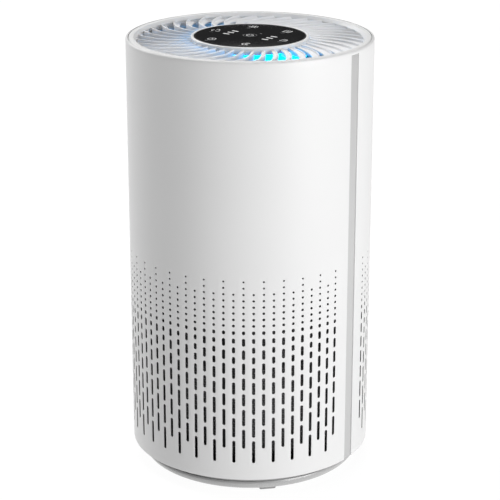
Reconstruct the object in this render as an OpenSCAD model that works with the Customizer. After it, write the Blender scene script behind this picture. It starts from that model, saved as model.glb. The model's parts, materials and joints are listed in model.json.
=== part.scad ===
// Tower air purifier. Air enters all round through the perforated shells, passes the
// cylindrical filter, is drawn up by the fan and leaves through the vane ring on top.
// Millimetres, +Z up, origin on the floor under the body's axis, front towards -Y.
// Angles of the body are measured from the front, and grow towards +X.

/* [Body] */
// Outer diameter of the shells
body_d = 205; // [204:0.5:206]
// Height of the shells
shell_h = 354.5; // [352:0.5:380]
// Wall thickness of the shells
shell_t = 2.3; // [2:0.1:2.4]
// Radius on the top edge of the shells
rim_r = 1.8; // [1:0.1:2]
// Width of the trim strip in each side seam
seam_w = 11; // [9:0.5:12]
// Height of the base that shows under the shells
base_h = 14.2; // [13:0.1:15]
// Height of the rubber feet
foot_h = 2; // [1.5:0.5:3]

/* [Perforations] */
// Angle between neighbouring columns
column_step = 4.6; // [4.5:0.05:4.65]
// Columns on each side of the middle one, front shell
front_columns = 17; // [10:1:17]
// Columns on each side of the middle one, rear shell
rear_columns = 17; // [10:1:17]
// Height of the highest dots above the lower edge of the shells
dot_top = 175; // [165:0.5:180]
// Distance between the dots of a column
dot_pitch = 5.4; // [5:0.1:5.6]
// Diameter of the highest dots
dot_d = 1.6; // [1.2:0.1:2]
// Growth of the dots from one row to the next
dot_growth = 0.11; // [0:0.01:0.15]
// Width of the slots
slot_w = 2.6; // [2:0.1:3]
// Gap between the slots of a column
slot_gap = 3.2; // [2.8:0.1:3.4]

/* [Outlet and panel] */
// Number of outlet vanes
vane_count = 38; // [30:1:40]
// Thickness of a vane
vane_t = 1.3; // [1:0.1:1.6]
// Height of a vane
vane_h = 6.3; // [5.6:0.1:6.3]
// Angle of the middle vane at the hub
vane_phase = 1.1; // [0:0.1:9.4]
// Depth of the vanes' upper edges under the rim
vane_drop = 2; // [1.5:0.1:2.5]
// Outer diameter of the panel's bezel
bezel_d = 97.6; // [97:0.1:98]
// Diameter of the panel's glass
glass_d = 93; // [90:0.5:93]
// Thickness of the panel's glass
glass_t = 1.8; // [1.5:0.1:2]

/* [Filter and fan] */
// Outer diameter of the filter
filter_d = 164; // [160:1:165]
// Number of pleats
pleat_count = 60; // [40:1:70]
// Number of impeller blades
blade_count = 11; // [7:1:13]
// Outer diameter of the impeller
impeller_d = 164; // [160:1:165]
// Diameter of the motor shaft
shaft_d = 5; // [4:0.5:6]

/* [Cover] */
// Number of bayonet lugs
lug_count = 4; // [3:1:4]
// Twist between locked and open
cover_twist = 18; // [16:0.5:18]

/* [Hidden] */
$fn = 96;

// Plain clearance between neighbouring pieces of one body, and between moving bodies
fit_gap = 0.1;
move_gap = 0.4;

// Levels of the body, from the floor up
base_z = foot_h;
shell_z = base_z + base_h;
rim_z = shell_z + shell_h;
body_r = body_d / 2;
inside_r = body_r - shell_t;

// Levels of the base ring, the cage and the deck
ring_z = shell_z + 0.2;
ledge_t = 2.6;
cage_z = shell_z + 13.3;
deck_z = shell_z + 177.3;
deck_t = 3;
duct_z = deck_z + deck_t;

// Radii of the base
base_r = 0.922 * body_r;
collar_r = 87.5;
collar_t = 2;
lug_r = 90.7;
lug_angle = 16;
lug_h = 2.6;
lug_z = ring_z + ledge_t + move_gap;
ring_wall_r = 93.4;
ring_wall_t = 2;
stop_angle = 3;
stop_gap = 0.3;
boss_angle = 7;
screw_ring_r = 97;
duct_screw_r = 97.5;
screw_r = 1.45;

// Filter
filter_z = 20;
filter_top_z = deck_z - 3.5;
cap_t = 4;
cap_lip = 6;
lip_t = 1.5;
filter_r = filter_d / 2;
bore_r = 48;
carbon_in_r = 51;
carbon_out_r = 57.5;
pleat_in_r = 59;
pleat_out_r = filter_r - 3;
pleat_t = 0.9;
sleeve_t = 0.7;
gasket_in_r = 62;
gasket_out_r = 76;

// Air duct and fan
duct_r = 93.3;
duct_t = 2;
deck_hole_r = 58;
nozzle_r = 10;
nozzle_t = 2.2;
nozzle_middle = [61, duct_z + 10.2];
nozzle_flange_r = 70;
eye_r = 51.5;
impeller_r = impeller_d / 2;
back_z = deck_z + 52.7;
back_t = 1.8;
hub_disc_z = back_z - 12.7;
hub_disc_t = 2.8;
hub_wall_r = 29.6;
rotor_r = 27.2;
rotor_z = hub_disc_z + hub_disc_t;
rotor_h = 23;
magnet_r = 25.6;
magnet_t = 2;
stator_r = 23;
stator_z = rotor_z + 7.5;
stator_h = 12;
tube_r = 8.5;
bearing_r = 6.5;
bearing_h = 4;
mount_z = deck_z + 68.5;
mount_t = 3;
mount_h = 23;
shaft_r = shaft_d / 2;

// Hub column and panel
hub_r = bezel_d / 2;
hub_wall = 2;
column_top_z = rim_z - 17.7;
board_z = mount_z + 28;
board_r = 44;
glass_r = glass_d / 2;
vane_top_z = rim_z - vane_drop;
collar_top_z = vane_top_z - 0.9;
collar_h = 3.2;
guide_z = rim_z - 14.6;
guide_h = collar_top_z - collar_h - guide_z - fit_gap;
grille_ring_top = rim_z - 4.3;
grille_bottom = rim_z - 8.4;

// Slots down a column that starts with eight dots, and down one that starts with six
long_column = [3.3, 6.8, 8.4, 9.9, 10.8, 10.8, 14.6, 17.2];
short_column = [3.3, 4.4, 5.3, 6.2, 9.9, 10.8, 14.5, 17.4, 19.9];
dot_rows = 8;
skipped_rows = 2;

// Power inlet, low on the rear shell
inlet_angle = 180;
inlet_w = 24;
inlet_h = 15;
inlet_z = shell_z + 25.8;
inlet_front = 101.9;
inlet_back = 84.5;
lead_r = 1.5;
lead_path_r = 97.8;
lead_z = mount_z + 13;
lead_end_r = 36;

// Colours
white = [0.93, 0.93, 0.93];
trim_grey = [0.78, 0.78, 0.78];
light_grey = [0.84, 0.84, 0.85];
dark_grey = [0.25, 0.26, 0.27];
black = [0.05, 0.05, 0.05];
cyan = [0.35, 0.95, 0.98];
board_green = [0.10, 0.35, 0.20];
steel = [0.70, 0.71, 0.73];
copper = [0.75, 0.42, 0.20];
cream = [0.92, 0.90, 0.84];

function sum_to(list, n) = n <= 0 ? 0 : list[n - 1] + sum_to(list, n - 1);
function polar(r, a) = [r * cos(a), r * sin(a)];
function arc_points(c, r, a0, a1, n) =
    [for (i = [0 : n]) c + r * [cos(a0 + (a1 - a0) * i / n), sin(a0 + (a1 - a0) * i / n)]];

// A profile in the XZ half plane, turned through span degrees about the body's axis,
// with its middle at angle mid from the front.
module turned(mid, span) {
    rotate([0, 0, mid - 90 - span / 2])
        rotate_extrude(angle = span) children();
}

// A rectangle of the XZ half plane between two radii and two heights
module band(r0, r1, z0, z1) {
    translate([r0, z0]) square([r1 - r0, z1 - z0]);
}

module ring(r0, r1, z0, z1) {
    rotate_extrude() band(r0, r1, z0, z1);
}

// Places its children at a body angle and a radius, with -Y pointing outwards
module at_angle(angle, radius = 0) {
    rotate([0, 0, angle]) translate([0, -radius, 0]) children();
}

// ---- Shells ----

// A capsule cut straight through the shell's wall, standing between z0 and z1
module wall_cut(angle, z0, z1, w) {
    deep = shell_t + 2;
    at_angle(angle, inside_r - 1) {
        for (z = [z0 + w / 2, z1 - w / 2])
            translate([0, 0, z]) rotate([90, 0, 0]) cylinder(d = w, h = deep, $fn = 32);
        translate([-w / 2, -deep, z0 + w / 2]) cube([w, deep, z1 - z0 - w]);
    }
}

module dot_cut(angle, z, w) {
    at_angle(angle, inside_r - 1) translate([0, 0, z])
        rotate([90, 0, 0]) cylinder(d = w, h = shell_t + 2, $fn = 32);
}

// One column: dots that grow downwards, then slots that mostly grow longer.
// Slots that would meet the power inlet are left out of the columns beside it.
module column(angle, rows, slots, beside_inlet) {
    last_dot = shell_z + dot_top - (dot_rows - 1) * dot_pitch;
    first_slot = last_dot - dot_d / 2 - (dot_rows - 1) * dot_growth / 2 - slot_gap;
    for (row = [dot_rows - rows : dot_rows - 1])
        dot_cut(angle, shell_z + dot_top - row * dot_pitch, dot_d + row * dot_growth);
    for (i = [0 : len(slots) - 1]) {
        top = first_slot - sum_to(slots, i) - i * slot_gap;
        low = top - slots[i];
        clear_of_inlet = low > inlet_z + inlet_h / 2 + 2 || top < inlet_z - inlet_h / 2 - 2;
        if (!beside_inlet || clear_of_inlet) wall_cut(angle, low, top, slot_w);
    }
}

module shell_profile() {
    edge = [body_r - rim_r, rim_z - rim_r];
    polygon(concat([[inside_r, shell_z], [body_r - 0.6, shell_z], [body_r, shell_z + 0.6]],
        arc_points(edge, rim_r, 0, 90, 6), [[inside_r, rim_z]]));
}

// A half shell with its screw bosses. The cuts for the trim strips end below the rim.
module half_shell(mid) {
    seam_span = 2 * asin((seam_w / 2) / body_r);
    difference() {
        turned(mid, 179.94) shell_profile();
        for (side = [-90, 90])
            turned(side, seam_span) band(inside_r - 1, body_r + 1, shell_z - 1, rim_z - 3);
    }
    for (side = [-45, 45]) difference() {
        turned(mid + side, boss_angle)
            band(ring_wall_r + fit_gap + 0.3, inside_r + 0.4, ring_z + ledge_t + fit_gap, cage_z);
        at_angle(mid + side, screw_ring_r) cylinder(r = screw_r + 0.05, h = cage_z + 1);
    }
}

module front_shell() {
    color(white) difference() {
        half_shell(0);
        for (i = [-front_columns : front_columns])
            if (i % 2 == 0) column(i * column_step, dot_rows - skipped_rows, short_column, false);
            else column(i * column_step, dot_rows, long_column, false);
    }
}

module rear_shell() {
    color(white) difference() {
        half_shell(180);
        for (i = [-rear_columns : rear_columns])
            if (i % 2 == 0)
                column(180 + i * column_step, dot_rows - skipped_rows, short_column, abs(i) < 2);
            else column(180 + i * column_step, dot_rows, long_column, abs(i) < 2);
        at_angle(inlet_angle, body_r)
            translate([-inlet_w / 2 - fit_gap, -2, inlet_z - inlet_h / 2 - fit_gap])
                cube([inlet_w + 2 * fit_gap, 8, inlet_h + 2 * fit_gap]);
    }
}

// Trim strips: radii of their face and back, angle of the strip and of its flange
trim_face_r = body_r - 0.8;
trim_back_r = inside_r - 1.6;
trim_span = 2 * asin((seam_w / 2 - fit_gap) / body_r);
flange_span = trim_span + 5;
trim_top_z = rim_z - 3.2;

// Flat strip in the seam, with a wider flange behind the edges of the shells
module seam_trim(side) {
    color(trim_grey) {
        turned(side, trim_span) band(trim_back_r, trim_face_r, shell_z + 0.3, trim_top_z);
        turned(side, flange_span)
            band(trim_back_r, inside_r - fit_gap, cage_z + 1, rim_z - 24);
    }
}

// Room for both trim strips in a ring inside the shells, between two heights
module trim_notches(z0, z1) {
    for (side = [-90, 90])
        turned(side, flange_span + 0.4) band(trim_back_r - fit_gap, body_r, z0, z1);
}

module seam_trim_left() {
    seam_trim(-90);
}

module seam_trim_right() {
    seam_trim(90);
}

// ---- Top ----

// Flat ring inside the shells' rim, with a slope down to the vanes and two skirts
module top_ring() {
    out_r = inside_r - fit_gap;
    slope_r = 0.935 * body_r;
    edge_r = duct_r + 0.3;
    slope_drop = 2.7;
    skirt_t = 1.8;
    inner_skirt_r = duct_r + duct_t + 0.4;
    inner_skirt_z = rim_z - 18;
    outer_skirt_z = rim_z - 20;
    under_z = rim_z - 3;
    low = grille_ring_top + fit_gap;
    color(white) difference() {
        rotate_extrude() polygon([[out_r - 0.3, rim_z], [slope_r, rim_z],
            [slope_r - 0.6, rim_z - 0.25], [edge_r, rim_z - slope_drop], [edge_r, low],
            [inner_skirt_r, low], [inner_skirt_r, inner_skirt_z],
            [inner_skirt_r + 1.6, inner_skirt_z], [inner_skirt_r + 1.6, under_z],
            [out_r - skirt_t, under_z], [out_r - skirt_t, outer_skirt_z],
            [out_r, outer_skirt_z], [out_r, rim_z - 0.3]]);
        for (side = [-90, 90])
            turned(side, trim_span + 0.4)
                band(out_r - skirt_t - 0.1, body_r, outer_skirt_z - 1, trim_top_z + fit_gap);
    }
}

// Sickle-shaped vanes. A vane is an upright web with a flange that lags behind it and falls,
// steeply at first, to its tip. Sweep and lag are in degrees, fall in millimetres.
vane_in = hub_r + fit_gap;
vane_out = duct_r + fit_gap;
vane_steps = 7;
web_front = 0.2;
web_bevel = 0.35;
flange_t = 1.3;
function sweep(r) = let (u = (r - vane_in) / body_r) 6.3 * u + 71.5 * u * u;
function vane_lag(r) = 3 + 0.0435 * (r - vane_in);
function vane_fall(r) = 0.5 + 3 * (1 - pow(1 - (r - vane_in) / (vane_out - vane_in), 1.6));

// Corners of a vane's section on the cylinder of radius r: distance along the arc and depth
function vane_section(r) =
    let (wide = vane_lag(r) * PI / 180 * r, fall = vane_fall(r), back = web_front - vane_t,
        bend_x = -(web_front + web_bevel + 0.15 * wide), bend_z = 0.55 * fall)
    [[web_front, 0], [web_front, vane_h], [back, vane_h], [back, bend_z + flange_t],
        [-wide, fall + flange_t], [-wide, fall], [bend_x, bend_z], [back + web_bevel, 0]];

function vane_points(r) = [for (p = vane_section(r))
    let (a = vane_phase - sweep(r) + p[0] / r * 180 / PI)
    [r * sin(a), -r * cos(a), vane_top_z - p[1]]];

module vane() {
    size = 8;
    radii = [for (i = [0 : vane_steps]) vane_in + (vane_out - vane_in) * i / vane_steps];
    cap = [[0, 1, 2], [0, 2, 3], [0, 3, 7], [7, 3, 6], [6, 3, 4], [6, 4, 5]];
    last = vane_steps * size;
    walls = [for (i = [0 : vane_steps - 1]) for (k = [0 : size - 1])
        let (a = i * size + k, b = i * size + (k + 1) % size)
            each [[a, b, a + size], [b, b + size, a + size]]];
    ends = [for (t = cap) each [[t[2], t[1], t[0]], [last + t[0], last + t[1], last + t[2]]]];
    polyhedron(points = [for (r = radii) each vane_points(r)], faces = concat(walls, ends));
}

module outlet_grille() {
    color(light_grey) {
        ring(duct_r, duct_r + duct_t + 0.3, grille_bottom, grille_ring_top);
        ring(hub_r - 1.9, vane_in + fit_gap, collar_top_z - collar_h, collar_top_z);
        for (i = [0 : vane_count - 1]) rotate([0, 0, i * 360 / vane_count]) vane();
    }
}

// Ring around the glass, with a ledge under it
module panel_bezel() {
    low = collar_top_z + 0.05;
    color(white) rotate_extrude() polygon([[glass_r, rim_z - 0.4], [glass_r + 0.5, rim_z],
        [hub_r - 0.7, rim_z], [hub_r, rim_z - 0.7], [hub_r, low], [hub_r - 4.5, low],
        [hub_r - 4.5, rim_z - glass_t - fit_gap], [glass_r, rim_z - glass_t - fit_gap]]);
}

module panel_glass() {
    edge = glass_r - fit_gap;
    color(black) rotate_extrude() polygon([[0, rim_z - glass_t], [edge, rim_z - glass_t],
        [edge, rim_z - 0.4], [edge - 0.4, rim_z], [0, rim_z]]);
}

// Printed film with the key symbols, glued under the glass
module icon_film() {
    color(trim_grey) translate([0, 0, rim_z - glass_t - 0.3]) cylinder(r = hub_r - 4.8, h = 0.3);
}

// Cup that carries the touch board under the glass
cup_r = 44.8;
cup_z = rim_z - 20.7;
module panel_cup() {
    top = collar_top_z - fit_gap;
    color(dark_grey) rotate_extrude() polygon([[12, cup_z], [cup_r, cup_z], [cup_r, top - 2],
        [hub_r - 2, top - 2], [hub_r - 2, top], [cup_r - 1.8, top], [cup_r - 1.8, cup_z + 2],
        [12, cup_z + 2]]);
    color(dark_grey) for (a = [30 : 120 : 270])
        at_angle(a, 34) translate([0, 0, cup_z + 1.9]) cylinder(r = 2.5, h = 10, $fn = 32);
}

touch_z = cup_z + 12;
touch_t = 1.6;
key_ring_r = 0.335 * body_r;
key_angles = [0, 60, 120, 180, 240, 300];

// Touch board with its controller chip and connector
module touch_board() {
    color(board_green) translate([0, 0, touch_z]) cylinder(r = cup_r - 2.1, h = touch_t);
    color(black) translate([-5, 12, touch_z - 1.2]) cube([10, 10, 1.3]);
    color(cream) translate([-8, -22, touch_z - 4]) cube([16, 6, 4.1]);
}

// Sensor springs between the touch board and the film, one for each key
module touch_springs() {
    low = touch_z + touch_t;
    high = rim_z - glass_t - 0.3;
    turns = 3;
    color(steel) {
        for (key = [0 : 6]) for (turn = [0 : turns])
            at_angle(key < 6 ? key_angles[key] + 30 : 0, key < 6 ? key_ring_r : 0)
                ring(2.2, 3, low + turn * (high - low - 0.5) / turns,
                    low + turn * (high - low - 0.5) / turns + 0.5);
        for (key = [0 : 6])
            at_angle(key < 6 ? key_angles[key] + 30 : 0, key < 6 ? key_ring_r : 0)
                ring(2.3, 2.6, low, high);
    }
}

// Translucent ring that glows between the vanes
module light_ring() {
    color(cyan) rotate_extrude() polygon([[hub_r - 1.9, guide_z], [hub_r - 0.4, guide_z],
        [hub_r - 0.25, guide_z + 1], [hub_r - 0.25, guide_z + guide_h], [hub_r - 1.9, guide_z + guide_h]]);
}

module led_board() {
    color(board_green) ring(cup_r + 0.2, hub_r - 0.1, column_top_z, column_top_z + 1.2);
    color(cream) for (a = [0 : 30 : 330])
        at_angle(a, hub_r - 1.4) translate([-1.5, -0.8, column_top_z + 1.1]) cube([3, 1.6, 1.3]);
}

// ---- Hub column and electronics ----

module hub_column() {
    low = mount_z + mount_t;
    color(light_grey) difference() {
        ring(hub_r - hub_wall, hub_r, low, column_top_z);
        lead_hole();
    }
}

// Power supply board on the posts of the motor mount
module power_board() {
    top = board_z + 1.6;
    color(board_green) translate([0, 0, board_z]) cylinder(r = board_r, h = 1.6);
    color(cream) translate([-14, -8, top - 0.05]) cube([24, 20, 18]);
    color(black) for (spot = [[22, -12], [22, 4], [-26, -16]])
        translate([spot[0], spot[1], top - 0.05]) cylinder(r = 5, h = 20, $fn = 48);
    color(dark_grey) translate([-12, -26, top - 0.05]) cube([22, 3, 12]);
    color(cream) translate([-9, 24, top - 0.05]) cube([18, 7, 7]);
    color(black) translate([-30, 4, top - 0.05]) cube([9, 9, 2]);
}

// ---- Air duct ----

mount_angles = [45, 135, 225, 315];
duct_screw_angles = [22.5, 112.5, 202.5, 292.5];
lug_seat_r = 88;

module lead_hole() {
    at_angle(inlet_angle, lead_end_r) translate([0, 0, lead_z])
        rotate([90, 0, 0]) cylinder(r = lead_r + 0.7, h = body_r - lead_end_r, $fn = 32);
}

module air_duct() {
    foot_r = inside_r - 0.6;
    color(light_grey) difference() {
        union() {
            ring(duct_r, duct_r + duct_t, duct_z, grille_bottom - fit_gap);
            ring(duct_r, foot_r, duct_z, duct_z + 2.5);
            for (z = [duct_z + 45, duct_z + 90, duct_z + 135])
                ring(duct_r + 0.5, duct_r + duct_t + 0.8, z, z + 2);
            for (a = mount_angles)
                turned(a, 8) band(83.6, duct_r + 0.5, mount_z - 14, mount_z - fit_gap);
        }
        for (a = mount_angles)
            at_angle(a, lug_seat_r) translate([0, 0, mount_z - 10]) cylinder(r = screw_r + 0.05, h = 11);
        for (a = duct_screw_angles)
            at_angle(a, duct_screw_r) translate([0, 0, duct_z - 1]) cylinder(r = screw_r + 0.05, h = 5);
        lead_hole();
        lead_notch();
        trim_notches(duct_z - 1, duct_z + 4);
    }
}

// Way up for the power lead, beside the duct
module lead_notch() {
    at_angle(inlet_angle, lead_path_r) translate([0, 0, deck_z - 1])
        cylinder(r = lead_r + 0.5, h = 12, $fn = 32);
}

module screw(head_r, head_h, length) {
    cylinder(r = head_r, h = head_h, $fn = 32);
    translate([0, 0, -length]) cylinder(r = screw_r, h = length + 0.1, $fn = 32);
}

module duct_screws() {
    color(steel) for (a = duct_screw_angles)
        at_angle(a, duct_screw_r) translate([0, 0, duct_z + 2.5]) screw(2, 1.6, 5);
}

// Plate between the filter chamber and the fan
module fan_deck() {
    color(dark_grey) difference() {
        ring(deck_hole_r, inside_r - 0.2, deck_z, deck_z + deck_t);
        for (a = duct_screw_angles)
            at_angle(a, duct_screw_r) translate([0, 0, deck_z - 1]) cylinder(r = screw_r + 0.05, h = 6);
        lead_notch();
        trim_notches(deck_z - 1, deck_z + deck_t + 1);
    }
}

// Finger guard across the fan's inlet
module inlet_guard() {
    low = deck_z + 0.4;
    bar = 1.8;
    outer_r = deck_hole_r - fit_gap;
    color(dark_grey) {
        for (r = [10, 20, 30, 40, 49]) ring(r - bar / 2, r + bar / 2, low, low + 2);
        ring(outer_r - 2.4, outer_r, low, low + 2);
        for (a = [0 : 60 : 300])
            at_angle(a) translate([-bar / 2, 1 - outer_r, low]) cube([bar, outer_r - 1, 2]);
    }
}

// Rounded nozzle that feeds the eye of the impeller, on the deck
module inlet_nozzle() {
    outer = nozzle_r + nozzle_t;
    foot_angle = 180 + asin((nozzle_middle[1] - duct_z) / outer);
    color(dark_grey) rotate_extrude() polygon(concat(
        [[nozzle_flange_r, duct_z], [nozzle_flange_r, duct_z + 1.6], [nozzle_middle[0], duct_z + 1.6]],
        arc_points(nozzle_middle, nozzle_r, 240, 185, 6),
        arc_points(nozzle_middle, outer, 185, foot_angle, 6)));
}

// Diffuser that carries the motor: outer ring, curved stator vanes and hub
stator_vane_count = 8;
module stator_vane() {
    steps = 6;
    in_r = hub_r + 1;
    span = duct_r - 1 - in_r;
    sweep_angle = 20;
    thick_angle = 1.8;
    linear_extrude(mount_h) polygon(concat(
        [for (i = [0 : steps]) polar(in_r + span * i / steps, sweep_angle * pow(i / steps, 2))],
        [for (i = [steps : -1 : 0])
            polar(in_r + span * i / steps, sweep_angle * pow(i / steps, 2) + thick_angle)]));
}

module motor_mount() {
    ring_in = hub_r + 0.2;
    color(light_grey) difference() {
        union() {
            ring(tube_r - 1, ring_in + 2, mount_z, mount_z + mount_t);
            ring(ring_in, ring_in + 2, mount_z, mount_z + mount_h);
            ring(duct_r - 2, duct_r - fit_gap, mount_z, mount_z + mount_h);
            ring(bearing_r + 0.02, tube_r, rotor_z + 5, mount_z + 1);
            ring(shaft_r + 1.2, tube_r, mount_z, mount_z + mount_t);
            for (i = [0 : stator_vane_count - 1])
                rotate([0, 0, i * 360 / stator_vane_count + 12])
                    translate([0, 0, mount_z]) stator_vane();
            for (a = mount_angles) turned(a, 7) band(84, duct_r - 1, mount_z, mount_z + mount_t);
            for (a = mount_angles)
                at_angle(a, 38) translate([0, 0, mount_z]) cylinder(r = 3, h = board_z - mount_z, $fn = 32);
            at_angle(inlet_angle, hub_r + 1) translate([0, 0, lead_z])
                rotate([90, 0, 0]) cylinder(r = lead_r + 2.2, h = duct_r - 2 - hub_r, $fn = 32);
        }
        for (a = mount_angles)
            at_angle(a, lug_seat_r) translate([0, 0, mount_z - 1]) cylinder(r = screw_r + 0.05, h = 5);
        lead_hole();
    }
}

module mount_screws() {
    color(steel) for (a = mount_angles)
        at_angle(a, lug_seat_r) translate([0, 0, mount_z + mount_t]) screw(1.9, 1.6, 10);
}

// ---- Motor and fan ----

// Laminated core with nine teeth, on the bearing tube
module motor_stator() {
    teeth = 9;
    color(steel) translate([0, 0, stator_z]) {
        difference() {
            cylinder(r = 13, h = stator_h);
            translate([0, 0, -1]) cylinder(r = tube_r + 0.05, h = stator_h + 2);
        }
        for (i = [0 : teeth - 1]) rotate([0, 0, i * 360 / teeth]) {
            translate([12, -1.8, 0]) cube([8.5, 3.6, stator_h]);
            rotate([0, 0, -15]) rotate_extrude(angle = 30) band(20, stator_r, 0, stator_h);
        }
    }
}

// Copper windings round the teeth
module motor_windings() {
    teeth = 9;
    color(copper) for (i = [0 : teeth - 1]) rotate([0, 0, i * 360 / teeth])
        translate([0, 0, stator_z]) difference() {
            translate([14, -3.2, -2]) cube([5.6, 6.4, stator_h + 4]);
            translate([13, -1.85, -0.05]) cube([8, 3.7, stator_h + 0.1]);
        }
}

module bearing(z) {
    color(steel) ring(shaft_r + 0.03, bearing_r, z, z + bearing_h);
}

module lower_bearing() {
    bearing(rotor_z + 6);
}

module upper_bearing() {
    bearing(mount_z - bearing_h);
}

// Rotor cup, open upwards, with a boss on the shaft
module motor_rotor() {
    color(steel) {
        ring(shaft_r + 0.02, rotor_r, rotor_z, rotor_z + 1.6);
        ring(magnet_r + 0.02, rotor_r, rotor_z, rotor_z + rotor_h);
        ring(shaft_r + 0.02, 5, rotor_z, rotor_z + 4);
    }
}

module rotor_magnets() {
    color(dark_grey) ring(magnet_r - magnet_t, magnet_r, rotor_z + 4, rotor_z + rotor_h - 1);
}

module motor_shaft() {
    low = hub_disc_z - 6;
    color(steel) translate([0, 0, low]) cylinder(r = shaft_r, h = mount_z + 1 - low, $fn = 48);
}

// Backward-curved blades between a back plate and a shroud
module blade_outline() {
    steps = 7;
    r0 = 31;
    r1 = impeller_r - 1;
    sweep_angle = 62;
    thickness = 1.66;
    function blade_r(i) = r0 + (r1 - r0) * i / steps;
    function blade_angle(i) = sweep_angle * pow(i / steps, 1.1);
    function thick_angle(i) = thickness / blade_r(i) * 180 / PI;
    polygon(concat(
        [for (i = [0 : steps]) polar(blade_r(i), blade_angle(i))],
        [for (i = [steps : -1 : 0]) polar(blade_r(i), blade_angle(i) + thick_angle(i))]));
}

module fan_impeller() {
    eye_z = duct_z + 10.9;
    rim_low = back_z - 24;
    shroud = [[eye_r, eye_z], [eye_r + 4.5, eye_z + 6], [eye_r + 12.5, eye_z + 11], [impeller_r, rim_low]];
    color(white) {
        difference() {
            union() {
                ring(shaft_r + 3, hub_wall_r, hub_disc_z, hub_disc_z + hub_disc_t);
                ring(shaft_r + 0.02, 7, hub_disc_z, hub_disc_z + hub_disc_t);
            }
            for (a = [0 : 90 : 270])
                at_angle(a, 17) translate([0, 0, hub_disc_z - 1]) cylinder(r = 4, h = hub_disc_t + 2);
        }
        ring(rotor_r + 0.2, hub_wall_r, hub_disc_z, back_z + back_t);
        ring(hub_wall_r - 0.5, impeller_r, back_z, back_z + back_t);
        rotate_extrude() polygon(concat(shroud, [for (i = [3 : -1 : 0]) shroud[i] + [i == 0 ? 1.6 : 0, 1.8]]));
        intersection() {
            for (i = [0 : blade_count - 1]) rotate([0, 0, i * 360 / blade_count])
                translate([0, 0, hub_disc_z - 10]) linear_extrude(back_z - hub_disc_z + 10.3) blade_outline();
            rotate_extrude() polygon([[29, hub_disc_z + 6], [33, hub_disc_z - 4], [eye_r, eye_z + 3],
                [eye_r + 5, eye_z + 7.2], [eye_r + 12.5, eye_z + 12], [impeller_r - 0.5, rim_low + 0.8],
                [impeller_r - 0.5, back_z + 0.3], [29, back_z + 0.3]]);
        }
    }
}

module impeller_nut() {
    color(steel) translate([0, 0, hub_disc_z - 4]) difference() {
        cylinder(r = 4.6, h = 4, $fn = 6);
        translate([0, 0, -1]) cylinder(r = shaft_r + 0.02, h = 6, $fn = 48);
    }
}

// ---- Filter ----

// Pleated sheet, folded to and fro between two radii
module filter_media() {
    step = 360 / pleat_count;
    color(cream) translate([0, 0, filter_z + cap_t]) linear_extrude(filter_top_z - filter_z - 2 * cap_t)
        difference() {
            polygon([for (i = [0 : pleat_count - 1]) each
                [polar(pleat_out_r, i * step), polar(pleat_in_r + pleat_t, (i + 0.5) * step)]]);
            polygon([for (i = [0 : pleat_count - 1]) each
                [polar(pleat_out_r - 6 * pleat_t, i * step), polar(pleat_in_r, (i + 0.5) * step)]]);
        }
}

module filter_carbon() {
    color(dark_grey) ring(carbon_in_r, carbon_out_r, filter_z + cap_t, filter_top_z - cap_t);
}

module filter_sleeve() {
    outer_r = filter_r - lip_t - 0.4;
    color(black) ring(outer_r - sleeve_t, outer_r, filter_z + cap_t, filter_top_z - cap_t);
}

module filter_top_cap() {
    color(light_grey) {
        ring(bore_r, filter_r, filter_top_z - cap_t, filter_top_z);
        ring(filter_r - lip_t, filter_r, filter_top_z - cap_t - cap_lip, filter_top_z - 1);
    }
}

module filter_bottom_cap() {
    color(light_grey) {
        translate([0, 0, filter_z]) cylinder(r = filter_r, h = cap_t);
        ring(filter_r - lip_t, filter_r, filter_z + 1, filter_z + cap_t + cap_lip);
    }
}

module filter_gasket() {
    color(dark_grey) ring(gasket_in_r, gasket_out_r, filter_top_z, deck_z);
}

// Webbing tab to pull the filter out by
module filter_tab() {
    tab_t = 1.2;
    tab_w = 18;
    tab_length = 64;
    color(dark_grey) translate([-tab_length / 2, -tab_w / 2, filter_z - tab_t])
        cube([tab_length, tab_w, tab_t]);
}

// ---- Frame of the lower body ----

module filter_cage() {
    color(dark_grey) {
        for (z = [cage_z, deck_z - 4]) ring(ring_wall_r - 2, ring_wall_r, z, z + 4);
        ring(ring_wall_r - 2, ring_wall_r, (cage_z + deck_z) / 2, (cage_z + deck_z) / 2 + 3);
        for (a = [22.5 : 45 : 337.5])
            turned(a, 4) band(87, ring_wall_r - 0.5, cage_z + 2, deck_z);
    }
}

// Ring under the shells, with the ledges and stops of the bayonet
module base_ring() {
    wall_in = ring_wall_r - ring_wall_t;
    ledge_top = ring_z + ledge_t;
    lug_step = 360 / lug_count;
    color(dark_grey) {
        difference() {
            ring(collar_r + 0.6, inside_r - 0.2, ring_z, ledge_top);
            for (i = [0 : lug_count - 1])
                turned(i * lug_step + 45 + cover_twist, lug_angle + 3)
                    band(collar_r, lug_r + 0.5, ring_z - 1, ledge_top + 1);
            for (a = [-45, 45, 135, 225])
                at_angle(a, screw_ring_r) cylinder(r = screw_r + 0.05, h = cage_z);
            trim_notches(ring_z - 1, ledge_top + 1);
        }
        ring(wall_in, ring_wall_r, ring_z, cage_z);
        for (i = [0 : lug_count - 1]) {
            turned(i * lug_step + 45 - lug_angle / 2 - stop_gap - stop_angle / 2, stop_angle)
                band(collar_r + 0.8, wall_in + 0.5, ledge_top - 0.5, ledge_top + 3.4);
            turned(i * lug_step + 45 + cover_twist + lug_angle / 2 + stop_gap + stop_angle / 2, stop_angle)
                band(collar_r + 0.8, wall_in + 0.5, ledge_top - 0.5, ledge_top + 3.4);
        }
    }
}

module shell_screws() {
    color(steel) for (a = [-45, 45, 135, 225])
        at_angle(a, screw_ring_r) translate([0, 0, ring_z]) mirror([0, 0, 1]) screw(2.3, 1.6, 11);
}

// ---- Power inlet and lead ----

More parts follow.
